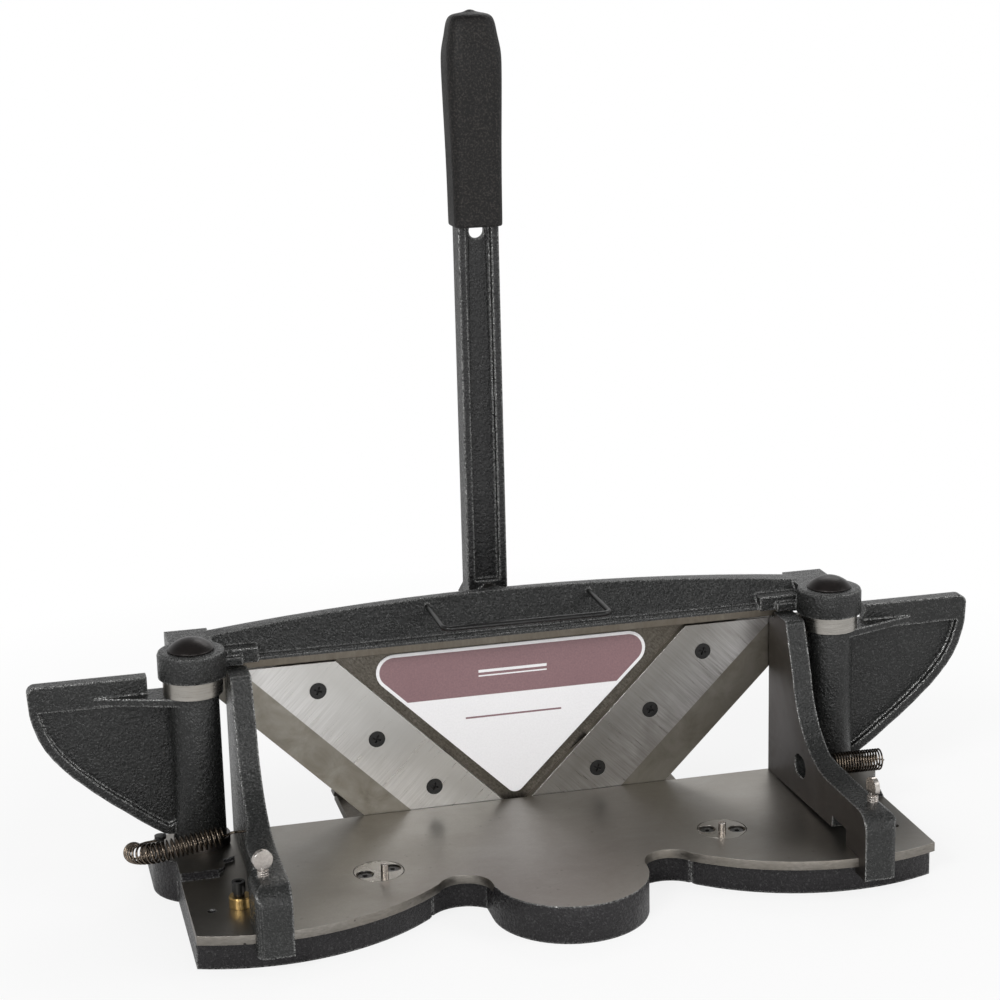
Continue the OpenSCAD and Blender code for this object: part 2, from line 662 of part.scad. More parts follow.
module stop_collar() on_table() difference() {
    union() {
        rod([collar_pos[0] - collar_ecc, collar_pos[1], 0.1], 6.5, 5.7);
        rod([collar_pos[0] - collar_ecc, collar_pos[1], 5.6], 6.1, 0.9);
    }
    rod([collar_pos[0], collar_pos[1], -1], 2.55, 12);
}
module stop_collar_left() color(brass) side(-1) stop_collar();
module stop_collar_right() color(brass) side(1) stop_collar();

module collar_screws() color(black_steel) on_table() both() difference() {
    union() {
        rod([collar_pos[0], collar_pos[1], -13.5], 2.5, 22);
        rod([collar_pos[0], collar_pos[1], 6.6], 3.2, 2.5);
        rod([collar_pos[0], collar_pos[1], 9], 3.9, 6.2);
    }
    translate([collar_pos[0], collar_pos[1], 12]) cylinder(r = 2.3, h = 5, $fn = 6);
}

// ---------- springs ----------
// Centre line of a spring: a run along X, a quarter turn to the rear and a last run.
// q holds the start x, front y, outermost x, turn radius, start z, the two terms of its
// fall, and the end y.
function run_of(q) = q[2] - q[3] - q[0];
function turn_of(q) = q[3] * PI / 2;
function total_of(q) = run_of(q) + turn_of(q) + q[7] - q[1] - q[3];
function centre_at(q, s) = let (a = (s - run_of(q)) / q[3] * 180 / PI,
    t = s / total_of(q), z = q[4] - q[5] * t - q[6] * t * t)
    s < run_of(q) ? [q[0] + s, q[1], z]
    : a < 90 ? [q[2] - q[3] + q[3] * sin(a), q[1] + q[3] - q[3] * cos(a), z]
    : [q[2], q[1] + q[3] + s - run_of(q) - turn_of(q), z];
function unit(v) = v / norm(v);

sides = 6;
rings = 8;
fade = 4;              // rings over which the end curls shrink towards the hooks
// [point, outward direction] pairs; n1 curls on the run and n2 curls on the rest
function spring_wire(q, r, n1, n2) = [for (i = [0 : (n1 + n2) * rings])
    let (f = i / rings, s = f <= n1 ? run_of(q) * f / n1
            : run_of(q) + (total_of(q) - run_of(q)) * (f - n1) / n2,
        t = unit(centre_at(q, s + 1) - centre_at(q, s - 1)),
        u = unit(cross(t, [0, 0, 1])), w = cross(u, t), a = 360 * f,
        k = min(1, min(i, (n1 + n2) * rings - i) / fade))
        [centre_at(q, s) + r * (0.4 + 0.6 * k) * (u * cos(a) + w * sin(a)),
         u * cos(a) + w * sin(a)]];

// tube of hexagonal rings along [point, outward direction] pairs
module tube(w, r) {
    n = len(w);
    pts = [for (i = [0 : n - 1]) let (
        t = unit(w[min(n - 1, i + 1)][0] - w[max(0, i - 1)][0]),
        o = unit(w[i][1] - t * (w[i][1] * t)), b = cross(t, o))
        for (j = [0 : sides - 1]) let (a = 360 * j / sides)
            w[i][0] + r * (o * cos(a) + b * sin(a))];
    faces = concat(
        [for (j = [1 : sides - 2]) [0, j + 1, j]],
        [for (j = [1 : sides - 2]) let (q = (n - 1) * sides) [q, q + j, q + j + 1]],
        [for (i = [0 : n - 2], j = [0 : sides - 1]) let (k = (j + 1) % sides,
            a = i * sides + j, b = i * sides + k) each [[a, b, b + sides], [a, b + sides, a + sides]]]);
    polyhedron(pts, faces);
}

// least gap between curls: points from half a turn to two turns apart along the wire
function least_gap(w, d) = min([for (i = [0 : len(w) - 1],
    j = [i + rings / 2 : 1 : min(len(w) - 1, i + 2 * rings)]) norm(w[i][0] - w[j][0])]) - d;

hook_start = [[175.5, hook_pos[0], hook_pos[1]], [178, hook_pos[0], hook_pos[1]],
    [187, hook_pos[0], hook_pos[1]]];
hook_end = [for (p = [[232.5, -0.3], [231, 0], [229.6, 0], [228.25, 0]])
    [p[0], anchor_pos[1] + p[1], anchor_z]];
function with_ref(v, ref) = [for (p = v) [p, ref]];

left_q = [192, -48, 243.5, 20, 18, 7.7, 5.8, -25];
right_q = [192, -48, 242, 16, 18, 1, 0, -28];
left_n = [round(run_of(left_q) / left_pitch), round((total_of(left_q) - run_of(left_q)) / left_pitch)];
right_n = [round(run_of(right_q) / right_pitch), 0];   // this one stays straight
left_wire = concat(with_ref(hook_start, [0, -0.7, 0.7]),
    spring_wire(left_q, (left_spring_d - left_wire_d) / 2, left_n[0], left_n[1]),
    with_ref(concat([[243.5, -20.5, 4.5], [240, -16, 4.5], [236, -13.2, 4.5]], hook_end), [0.7, 0, 0.7]));
right_wire = concat(with_ref(hook_start, [0, -0.7, 0.7]),
    spring_wire(right_q, (right_spring_d - right_wire_d) / 2, right_n[0], right_n[1]),
    with_ref(concat([[231.5, -46.5, 16], [233, -37, 12.5], [234, -26, 8.5], [234, -17, 5.3]],
        hook_end), [0.7, 0, 0.7]));
echo(curls = [left_n, right_n],
     gaps = [least_gap(left_wire, left_wire_d), least_gap(right_wire, right_wire_d)]);

module spring_left() color(black_steel) side(-1) on_table() tube(left_wire, left_wire_d / 2);
module spring_right() color(black_steel) side(1) on_table() tube(right_wire, right_wire_d / 2);
module spring_anchors() color(black_steel) on_table() both() {
    rod([anchor_pos[0], anchor_pos[1], -7.8], 1.95, 12);
    rod([anchor_pos[0], anchor_pos[1], pad_h + 0.05], 2.2, 3);
    rod([anchor_pos[0], anchor_pos[1], pad_h + 3], 3.6, 1.8);
}

base_casting();
post_left();
post_right();
post_collars();
post_bolts();
dome_caps();
bridge_casting();
wire_bail();
guard_left();
guard_right();
guard_set_screws();
lower_gib();
upper_gib();
gib_screws();
gib_locknuts();
lever_bracket();
bracket_bolts();
pivot_bush();
carriage_casting();
knife_left();
knife_right();
knife_screws();
face_plate();
rack();
rack_screws();
pivot_shaft();
toothed_quadrant();
lever();
drive_key();
lever_washer();
lever_nut();
grip();
fence_left();
fence_right();
fence_pivot_pins();
thumb_screw_left();
thumb_screw_right();
stop_collar_left();
stop_collar_right();
collar_screws();
stop_discs();
stop_pins();
disc_screws();
spring_left();
spring_right();
spring_anchors();
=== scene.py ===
import math
import bpy
from mathutils import Matrix, Vector


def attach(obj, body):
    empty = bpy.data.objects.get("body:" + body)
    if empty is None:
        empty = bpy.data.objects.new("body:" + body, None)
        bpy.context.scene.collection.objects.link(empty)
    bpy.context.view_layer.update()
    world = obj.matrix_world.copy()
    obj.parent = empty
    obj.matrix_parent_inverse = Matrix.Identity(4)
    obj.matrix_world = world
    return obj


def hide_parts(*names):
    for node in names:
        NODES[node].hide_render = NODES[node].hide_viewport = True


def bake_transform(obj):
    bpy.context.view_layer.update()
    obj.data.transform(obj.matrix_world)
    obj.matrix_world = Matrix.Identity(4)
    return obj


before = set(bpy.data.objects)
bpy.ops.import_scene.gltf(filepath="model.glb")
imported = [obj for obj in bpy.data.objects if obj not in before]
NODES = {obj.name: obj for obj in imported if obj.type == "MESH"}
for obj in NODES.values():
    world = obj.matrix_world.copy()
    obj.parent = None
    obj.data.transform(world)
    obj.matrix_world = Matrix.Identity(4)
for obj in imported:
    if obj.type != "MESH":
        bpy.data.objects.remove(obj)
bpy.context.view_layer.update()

MM = 0.001
TABLE_Z = 23.0            # table top above the bench; other heights in mm start from it

# ---------- measures that the materials and faces are fitted to, mm ----------
KNIFE_HONE = 68.7                     # reach (|x| less height) where the honed band starts
KNIFE_HONE_BLUR = 0.25
PLATE_UPPER = (75.3, 90.1, 11.5)      # upper corner circle of the face plate: x, height, radius
PLATE_LOWER = (8.7, 6.0)              # its lower corner circle: height, radius
PLATE_RIM = (1.9, 2.15)               # width of the white rim, and where it has ended
PLATE_SPLIT = (69.2, 69.5)            # height between the white and the plum field
PLATE_RULES = ((81.6, 82.5, 22.0), (84.2, 86.0, 22.0), (54.6, 55.8, 31.0))  # from, to, half width
FINE_BUMP = 0.0002                    # m, depth of the fine bumps of ground and printed faces
BEVEL_SAMPLES = 4


# ---------- shader graphs ----------
class Graph:
    """A material with a Principled shader and short calls for its nodes."""

    def __init__(self, name, rough=0.5, metal=0.0, ior=1.5, coat=0.0):
        self.mat = bpy.data.materials.new(name)
        self.mat.use_nodes = True
        self.tree = self.mat.node_tree
        self.tree.nodes.clear()
        self.out = self.new("ShaderNodeOutputMaterial")
        self.bsdf = self.new("ShaderNodeBsdfPrincipled")
        self.tree.links.new(self.bsdf.outputs[0], self.out.inputs[0])
        self.set("Roughness", rough)
        self.set("Metallic", metal)
        self.set("IOR", ior)
        self.set("Coat Weight", coat)
        self.co = self.new("ShaderNodeTexCoord").outputs["Object"]

    def new(self, kind):
        return self.tree.nodes.new(kind)

    def put(self, value, socket):
        if hasattr(value, "is_linked"):
            self.tree.links.new(value, socket)
        elif isinstance(value, (tuple, list)) and len(value) == 3 and socket.type == "RGBA":
            socket.default_value = (*value, 1.0)
        else:
            socket.default_value = value

    def set(self, name, value):
        self.put(value, self.bsdf.inputs[name])

    def map(self, scale=(1, 1, 1), rot=(0, 0, 0), loc=(0, 0, 0)):
        """Coordinates turned by rot degrees, then stretched by scale."""
        turned = self.new("ShaderNodeMapping")
        self.put(self.co, turned.inputs["Vector"])
        turned.inputs["Rotation"].default_value = [math.radians(a) for a in rot]
        n = self.new("ShaderNodeMapping")
        self.put(turned.outputs[0], n.inputs["Vector"])
        n.inputs["Scale"].default_value = scale
        n.inputs["Location"].default_value = loc
        return n.outputs[0]

    def noise(self, scale, detail=2.0, rough=0.5, co=None, dist=0.0):
        n = self.new("ShaderNodeTexNoise")
        self.put(co or self.co, n.inputs["Vector"])
        n.inputs["Scale"].default_value = scale
        n.inputs["Detail"].default_value = detail
        n.inputs["Roughness"].default_value = rough
        n.inputs["Distortion"].default_value = dist
        return n.outputs["Fac"]

    def cells(self, scale, smooth):
        n = self.new("ShaderNodeTexVoronoi")
        n.feature = "SMOOTH_F1"
        self.put(self.co, n.inputs["Vector"])
        n.inputs["Scale"].default_value = scale
        n.inputs["Smoothness"].default_value = smooth
        return n.outputs["Distance"]

    def math(self, op, a, b=0.0, c=0.0):
        n = self.new("ShaderNodeMath")
        n.operation = op
        for v, s in zip((a, b, c), n.inputs):
            self.put(v, s)
        return n.outputs[0]

    def range(self, v, a, b, c=0.0, d=1.0):
        n = self.new("ShaderNodeMapRange")
        for x, s in zip((v, a, b, c, d), n.inputs):
            self.put(x, s)
        return n.outputs[0]

    def mix(self, fac, a, b, blend="MIX"):
        n = self.new("ShaderNodeMix")
        n.data_type = "RGBA"
        n.blend_type = blend
        self.put(fac, n.inputs[0])
        self.put(a, n.inputs[6])
        self.put(b, n.inputs[7])
        return n.outputs[2]

    def xyz(self):
        n = self.new("ShaderNodeSeparateXYZ")
        self.put(self.co, n.inputs[0])
        return n.outputs

    def bump(self, height, strength, distance, normal=None):
        n = self.new("ShaderNodeBump")
        n.inputs["Strength"].default_value = strength
        n.inputs["Distance"].default_value = distance
        self.put(height, n.inputs["Height"])
        if normal is not None:
            self.put(normal, n.inputs["Normal"])
        return n.outputs[0]

    def bevel(self, radius):
        n = self.new("ShaderNodeBevel")
        n.samples = BEVEL_SAMPLES
        n.inputs["Radius"].default_value = radius
        return n.outputs[0]

    def edge(self, bevelled, lo=0.02, hi=0.2):
        """1 on the rounded edges, where the rounded normal leaves the face's own; the materials use
        it to paint highlights on edges.
        """
        geo = self.new("ShaderNodeNewGeometry").outputs["Normal"]
        dot = self.new("ShaderNodeVectorMath")
        dot.operation = "DOT_PRODUCT"
        self.put(bevelled, dot.inputs[0])
        self.put(geo, dot.inputs[1])
        return self.range(self.math("SUBTRACT", 1.0, dot.outputs["Value"]), lo, hi)


def hammered(name, dark, light, speck=0.5, round_mm=2.0, grain=1.0):
    """Dark grey enamel with a hammered skin, with painted glints on its grains and painted
    highlights on its edges.
    """
    g = Graph(name, rough=0.4, ior=1.45)
    round_n = g.bevel(round_mm * MM)
    edge = g.edge(round_n, 0.01, 0.14)
    grain_a = g.noise(620 * grain, 2, 0.6)
    grain_b = g.cells(560 * grain, 0.4)
    cloud = g.noise(16, 4, 0.55)
    fine = g.noise(1200 * grain, 2, 0.6)
    tone = g.mix(g.range(cloud, 0.3, 0.7), dark, light)
    tone = g.mix(g.range(fine, 0.4, 0.52, 0.45, 0.0), tone, (0.002, 0.002, 0.002))
    # painted glints: grain flecks drawn lighter in colour (painted highlight) and metallic (a real
    # flake that catches the lamps)
    glint = g.math("MULTIPLY", g.range(fine, 0.54, 0.64), g.range(grain_a, 0.44, 0.58))
    glint = g.math("MULTIPLY", glint, speck)
    tone = g.mix(glint, tone, (0.14, 0.14, 0.139))
    # painted highlight: the rounded edges are drawn pale and metallic, standing in for the glints
    # that the edges catch
    painted_edge_glint = g.math("MULTIPLY", edge, g.range(fine, 0.42, 0.54))
    tone = g.mix(g.math("MULTIPLY", painted_edge_glint, 0.9), tone, (0.6, 0.6, 0.59))
    dust = g.math("MULTIPLY", g.range(g.noise(90, 5, 0.7), 0.55, 0.75), 0.05)
    g.set("Base Color", g.mix(dust, tone, (0.1, 0.096, 0.088)))
    g.set("Metallic", g.math("MULTIPLY", g.math("MAXIMUM", glint, painted_edge_glint), 0.8))
    g.set("Specular IOR Level", 0.42)
    g.set("Roughness", g.range(g.noise(260, 3), 0.3, 0.7, 0.2, 0.34))
    height = g.math("ADD", g.math("MULTIPLY", grain_b, 0.8), g.math("ADD", grain_a, fine))
    normal = g.bump(height, 0.9, 0.0004, round_n)
    g.set("Normal", g.bump(g.noise(60, 3), 0.3, 0.0014, normal))
    return g.mat


def ground(name, dark, light, rough=(0.26, 0.42), lines=(40, 900, 900), rot=(0, 0, 0),
           round_mm=0.4, stain=0.35, spots=0.0, strength=0.12):
    """Ground steel: fine lines along one direction, faint stains, and edges painted lighter as
    highlights.
    """
    g = Graph(name, metal=1.0)
    round_n = g.bevel(round_mm * MM)
    edge = g.edge(round_n)
    streak = g.noise(1.0, 5, 0.62, g.map(lines, rot))
    wide = g.noise(1.0, 3, 0.5, g.map([v * 0.18 for v in lines], rot, (3.1, 1.7, 0.4)))
    tone = g.mix(g.range(streak, 0.3, 0.7), dark, light)
    tone = g.mix(g.math("MULTIPLY", g.range(wide, 0.35, 0.65), 0.35), tone, dark)
    cloud = g.noise(22, 5, 0.6, dist=0.6)
    brown = [light[0] * 0.62, light[1] * 0.57, light[2] * 0.5]
    tone = g.mix(g.math("MULTIPLY", g.range(cloud, 0.42, 0.7), stain), tone, brown)
    if spots:
        dots = g.range(g.cells(150, 0.1), 0.16, 0.1)
        keep = g.range(g.noise(60, 2), 0.56, 0.6)
        tone = g.mix(g.math("MULTIPLY", g.math("MULTIPLY", dots, keep), spots), tone,
                     (0.02, 0.018, 0.016))
    # painted highlight: the rounded edges are drawn lighter
    tone = g.mix(g.math("MULTIPLY", edge, 0.5), tone, [min(1, 1.5 * v) for v in light])
    g.set("Base Color", tone)
    g.set("Roughness", g.range(g.math("ADD", streak, cloud), 0.7, 1.3, *rough))
    g.set("Normal", g.bump(streak, strength, FINE_BUMP, round_n))
    return g.mat


def plain_metal(name, dark, light, rough, round_mm=0.35, scale=700, strength=0.15, metal=1.0):
    """Turned, plated or blackened metal with a fine skin, and edges painted lighter as highlights.
    """
    g = Graph(name, metal=metal)
    round_n = g.bevel(round_mm * MM)
    skin = g.noise(scale, 4, 0.6)
    cloud = g.noise(70, 3)
    tone = g.mix(g.range(g.math("ADD", skin, cloud), 0.7, 1.3), dark, light)
    # painted highlight: the rounded edges are drawn lighter
    tone = g.mix(g.math("MULTIPLY", g.edge(round_n), 0.6), tone, [min(1, 1.8 * v) for v in light])
    g.set("Base Color", tone)
    g.set("Roughness", g.range(cloud, 0.3, 0.7, rough * 0.8, rough * 1.25))
    g.set("Normal", g.bump(skin, strength, FINE_BUMP, round_n))
    return g.mat


def knife_steel(name):
    """Ground blade: crossing fine lines and a duller honed band next to the cutting edge."""
    g = Graph(name, metal=1.0)
    round_n = g.bevel(0.3 * MM)
    x, _, z = g.xyz()
    reach = g.math("SUBTRACT", g.math("ABSOLUTE", x), g.math("SUBTRACT", z, TABLE_Z * MM))
    honed = g.range(reach, (KNIFE_HONE - KNIFE_HONE_BLUR) * MM,
                    (KNIFE_HONE + KNIFE_HONE_BLUR) * MM)
    lines = (45, 900, 1000)
    rising = g.noise(1.0, 3, 0.6, g.map(lines, (0, 45, 0)))
    falling = g.noise(1.0, 3, 0.6, g.map(lines, (0, -45, 0)))
    right_side = g.range(x, -0.1 * MM, 0.1 * MM)
    along = g.mix(right_side, falling, rising)
    cross = g.mix(right_side, rising, falling)
    soft = g.noise(18, 3, 0.5, dist=0.6)
    body = g.mix(g.range(cross, 0.36, 0.64), (0.5, 0.485, 0.475), (0.76, 0.745, 0.745))
    # painted shade: the blade darkens away from its cutting edge, where its reflection falls off
    body = g.mix(g.range(reach, 64 * MM, 24 * MM, 0.0, 0.8), body, (0.26, 0.25, 0.23))
    body = g.mix(g.range(soft, 0.44, 0.6, 0.0, 0.5), body, (0.26, 0.245, 0.225))
    # painted light: the left knife is drawn brighter and the right one darker, standing in for how
    # each blade reflects the lamps
    bright = g.mix(0.5, body, (0.8, 0.79, 0.76))
    painted_shade_right_knife = g.mix(0.35, body, (0.2, 0.19, 0.17))
    body = g.mix(right_side, bright, painted_shade_right_knife)
    blotch = g.noise(45, 4, 0.62, dist=0.8)
    band = g.mix(g.range(blotch, 0.34, 0.66), (0.22, 0.2, 0.165), (0.36, 0.34, 0.3))
    band = g.mix(g.range(along, 0.3, 0.7, 0.0, 0.3), band, (0.3, 0.28, 0.24))
    # painted shade: the right knife's honed band is drawn darker as well
    band = g.mix(g.math("MULTIPLY", right_side, 0.4), band, (0.12, 0.11, 0.09))
    tone = g.mix(honed, body, band)
    # painted highlight: the rounded edges of the blades are drawn pale
    tone = g.mix(g.math("MULTIPLY", g.edge(round_n), 0.7), tone, (0.85, 0.83, 0.8))
    g.set("Base Color", tone)
    g.set("Roughness", g.math("ADD", g.range(honed, 0, 1, 0.3, 0.36),
                              g.range(cross, 0.3, 0.7, -0.03, 0.04)))
    g.set("Normal", g.bump(cross, 0.06, FINE_BUMP, round_n))
    return g.mat


def rubber(name):
    """Black moulded rubber with a fine pebbled skin and pale grains."""
    g = Graph(name, ior=1.45)
    grain = g.noise(820, 3, 0.65)
    pebble = g.cells(700, 0.4)
    cloud = g.noise(40, 3)
    tone = g.mix(g.range(cloud, 0.3, 0.7), (0.003, 0.0027, 0.0027), (0.0055, 0.005, 0.0048))
    tone = g.mix(g.math("MULTIPLY", g.range(grain, 0.5, 0.62), 0.5), tone, (0.05, 0.044, 0.04))
    g.set("Base Color", tone)
    g.set("Specular IOR Level", 0.3)
    g.set("Roughness", g.range(cloud, 0.3, 0.7, 0.42, 0.58))
    normal = g.bump(g.math("ADD", grain, g.math("MULTIPLY", pebble, 0.7)), 0.75, 0.0004)
    g.set("Normal", normal)
    return g.mat


def plate_side():
    """Direction of the plate's slanted side, which touches both corner circles."""
    cx, cz, upper_r = PLATE_UPPER
    low_z, lower_r = PLATE_LOWER
    rise = cz - low_z
    a = math.atan2(rise, cx) - math.asin((upper_r - lower_r) / math.hypot(cx, rise))
    return math.cos(a), math.sin(a)


def sign(name):
    """Printed plate: white rim, plum upper field, white lower field, and no words."""
    g = Graph(name, rough=0.4, ior=1.48, coat=0.15)
    x, _, z = g.xyz()
    ax = g.math("ABSOLUTE", x)
    up = g.math("SUBTRACT", z, TABLE_Z * MM)
    dir_x, dir_z = plate_side()
    slope = dir_x / dir_z
    low_z, lower_r = PLATE_LOWER
    corner_x, corner_z, corner_r = PLATE_UPPER
    # distance inside the slanted side, and inside the top edge
    half_width = g.math("MULTIPLY_ADD", up, slope, (lower_r / dir_z - low_z * slope) * MM)
    side = g.math("DIVIDE", g.math("SUBTRACT", half_width, ax), math.hypot(1.0, slope))
    top = g.math("SUBTRACT", (corner_z + corner_r) * MM, up)
    # beyond the centre of a rounded corner the distance is taken to its circle
    dx = g.math("MAXIMUM", g.math("SUBTRACT", ax, corner_x * MM), 0.0)
    dz = g.math("SUBTRACT", up, corner_z * MM)
    reach = g.math("SQRT", g.math("MULTIPLY_ADD", dx, dx, g.math("MULTIPLY", dz, dz)))
    near = g.math("SUBTRACT", corner_r * MM, reach)
    along = g.math("MULTIPLY_ADD", dx, dir_x, g.math("MULTIPLY", dz, dir_z))
    in_corner = g.math("MULTIPLY", g.math("GREATER_THAN", dx, 0.0),
                       g.math("GREATER_THAN", along, 0.0))
    inner = g.mix(in_corner, g.math("MINIMUM", side, top), near)
    field = g.range(inner, *(v * MM for v in PLATE_RIM))
    plum_on = g.math("MULTIPLY", field, g.range(up, *(v * MM for v in PLATE_SPLIT)))
    fleck = g.noise(900, 4, 0.6)
    white = g.mix(g.range(fleck, 0.3, 0.7), (0.82, 0.81, 0.82), (0.88, 0.87, 0.88))
    plum = g.mix(g.range(fleck, 0.3, 0.7), (0.2, 0.115, 0.125), (0.27, 0.155, 0.165))
    plum = g.mix(g.math("MULTIPLY", g.range(g.noise(14, 4), 0.35, 0.7), 0.35), plum,
                 (0.19, 0.105, 0.115))

    # plain rules: two white lines in the upper field, one plum line in the lower field
    def line(low, high, reach_x):
        level = g.math("MULTIPLY", g.math("GREATER_THAN", up, low * MM),
                       g.math("LESS_THAN", up, high * MM))
        return g.math("MULTIPLY", level, g.math("LESS_THAN", ax, reach_x * MM))

    pale = g.math("MAXIMUM", line(*PLATE_RULES[0]), line(*PLATE_RULES[1]))
    ink = g.math("MAXIMUM", g.math("SUBTRACT", plum_on, pale), line(*PLATE_RULES[2]))
    g.set("Base Color", g.mix(ink, white, plum))
    g.set("Roughness", g.range(g.noise(300, 3), 0.3, 0.7, 0.34, 0.5))
    g.set("Normal", g.bump(fleck, 0.08, FINE_BUMP, g.bevel(0.4 * MM)))
    return g.mat


MATS = {
    "paint": hammered("paint", (0.010, 0.0105, 0.0103), (0.016, 0.0165, 0.016)),
    # painted light: a lighter copy of the casting paint for the fences, whose front faces catch the
    # lamps
    "lit_fence_paint": hammered("lit_fence_paint", (0.014, 0.0148, 0.0143), (0.022, 0.0228, 0.022)),
    "skirt": hammered("skirt", (0.011, 0.010, 0.011), (0.018, 0.0165, 0.018), 0.3, 2.0, 0.8),
    "lever_paint": hammered("lever_paint", (0.008, 0.008, 0.0083), (0.013, 0.013, 0.0134), 0.25),
    "table": ground("table", (0.27, 0.255, 0.235), (0.33, 0.315, 0.29), (0.3, 0.42),
                    (700, 1200, 900), stain=0.25, spots=0.2, strength=0.06),
    "rim": ground("rim", (0.2, 0.185, 0.165), (0.33, 0.31, 0.28), (0.32, 0.5),
                  (300, 300, 900), stain=0.4, spots=0.9),
    "strip": ground("strip", (0.13, 0.115, 0.095), (0.2, 0.18, 0.15), (0.32, 0.5),
                    (500, 100, 160), stain=0.4),
    "bright": ground("bright", (0.3, 0.285, 0.26), (0.46, 0.44, 0.41), (0.22, 0.36),
                     (60, 60, 1200), stain=0.3),
    "fence_face": ground("fence_face", (0.085, 0.075, 0.072), (0.13, 0.118, 0.112),
                         (0.3, 0.48), (500, 60, 300), stain=0.4, spots=0.3),
    # partly painted shade: the carriage's own dark iron, drawn darker still for the shade it sits
    # in between the plate and the knives
    "web": ground("web", (0.06, 0.053, 0.043), (0.2, 0.183, 0.158), (0.35, 0.5),
                  (900, 900, 500), (0, 45, 0), stain=0.3, spots=0.4),
    "dark": ground("dark", (0.1, 0.092, 0.088), (0.17, 0.158, 0.15), (0.28, 0.42),
                   (60, 60, 900), stain=0.4),
    "black": plain_metal("black", (0.004, 0.0038, 0.0038), (0.011, 0.0105, 0.01), 0.3, metal=0.15),
    "cap": plain_metal("cap", (0.008, 0.0065, 0.006), (0.017, 0.013, 0.012), 0.3, scale=300,
                       metal=0.5),
    "spring": plain_metal("spring", (0.055, 0.045, 0.038), (0.24, 0.195, 0.15), 0.2, 0.15, 300),
    "brass": plain_metal("brass", (0.38, 0.25, 0.09), (0.58, 0.41, 0.18), 0.3),
    "nickel": plain_metal("nickel", (0.42, 0.38, 0.35), (0.66, 0.62, 0.58), 0.24),
    "rubber": rubber("rubber"),
    "sign": sign("sign"),
    "knife": knife_steel("knife"),
}

NODE_MATS = {
    "base_casting": "skirt", "post_left": "dark", "post_right": "dark", "post_collars": "bright",
    "post_bolts": "black", "dome_caps": "cap", "bridge_casting": "paint", "wire_bail": "black",
    "guard_left": "paint", "guard_right": "paint", "guard_set_screws": "black",
    "lower_gib": "bright", "upper_gib": "bright", "gib_screws": "black", "gib_locknuts": "dark",
    "lever_bracket": "paint", "bracket_bolts": "black", "pivot_bush": "brass",
    "carriage_casting": "web", "knife_left": "knife", "knife_right": "knife",
    "knife_screws": "black", "face_plate": "sign", "rack": "dark", "rack_screws": "black",
    "pivot_shaft": "bright", "toothed_quadrant": "dark", "lever": "lever_paint",
    "drive_key": "bright", "lever_washer": "bright", "lever_nut": "black", "grip": "rubber",
    "fence_left": "lit_fence_paint", "fence_right": "lit_fence_paint", "fence_pivot_pins": "bright",
    "thumb_screw_left": "nickel", "thumb_screw_right": "nickel", "stop_collar_left": "brass",
    "stop_collar_right": "brass", "collar_screws": "black", "stop_discs": "bright",
    "stop_pins": "nickel", "disc_screws": "black", "spring_left": "spring",
    "spring_right": "spring", "spring_anchors": "black",
}
for node, key in NODE_MATS.items():
    slots = NODES[node].data.materials
    slots.clear()
    slots.append(MATS[key])


def paint_faces(node, key, test):
    """Gives the faces that pass test(centre in mm above the table, normal) a material."""
    mesh = NODES[node].data
    mesh.materials.append(MATS[key])
    slot = len(mesh.materials) - 1
    for p in mesh.polygons:
        c = p.center / MM
        if test(Vector((c.x, c.y, c.z - TABLE_Z)), p.normal):
            p.material_index = slot


# machined faces of the castings, mm
FACING = 0.9              # least part of the normal along an axis, for a face square to it
NEAR = 0.2                # how close to its level such a face lies
TABLE_LEVELS = (0.0, -10.5, 3.0)      # table, ledge behind it, and pads under the posts
RIM_BAND, RIM_HALF = (-5.45, -0.05), 221.0
STRIP_Y, STRIP_HALF = -4.5, 182.0
STRIP_FRONT_TOP, STRIP_UNDER_TOP = 109.9, 106.0
FENCE_FACE_X = 168.0
for level in TABLE_LEVELS:
    paint_faces("base_casting", "table",
                lambda c, n, level=level: n.z > FACING and abs(c.z - level) < NEAR)
paint_faces("base_casting", "rim",
            lambda c, n: abs(n.z) < 0.3 and RIM_BAND[0] < c.z < RIM_BAND[1]
            and c.y < -0.5 and abs(c.x) < RIM_HALF)
paint_faces("bridge_casting", "strip",
            lambda c, n: n.y < -FACING and abs(c.y - STRIP_Y) < 0.05
            and c.z < STRIP_FRONT_TOP and abs(c.x) < STRIP_HALF)
paint_faces("bridge_casting", "strip",
            lambda c, n: n.z < -FACING and c.z < STRIP_UNDER_TOP and abs(c.x) < STRIP_HALF)
for node, s in (("fence_left", -1), ("fence_right", 1)):
    paint_faces(node, "fence_face",
                lambda c, n, s=s: n.x * s < -FACING and abs(c.x * s - FENCE_FACE_X) < NEAR)


# ---------- new pieces ----------
def piece(name, verts, faces, key, body, replaced=()):
    """A new smooth mesh from points in mm, with its material, and its body when one is given."""
    mesh = bpy.data.meshes.new(name)
    mesh.from_pydata([Vector(v) * MM for v in verts], [], faces)
    mesh.validate()
    mesh.update()
    obj = bpy.data.objects.new(name, mesh)
    bpy.context.scene.collection.objects.link(obj)
    mesh.materials.append(MATS[key])
    mesh.polygons.foreach_set("use_smooth", [True] * len(mesh.polygons))
    if body:
        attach(obj, body)
    if replaced:
        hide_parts(*replaced)
    return obj


def modifier(obj, kind, **values):
    """Adds a modifier of a kind with its settings."""
    m = obj.modifiers.new(kind.lower(), kind)
    for k, v in values.items():
        setattr(m, k, v)


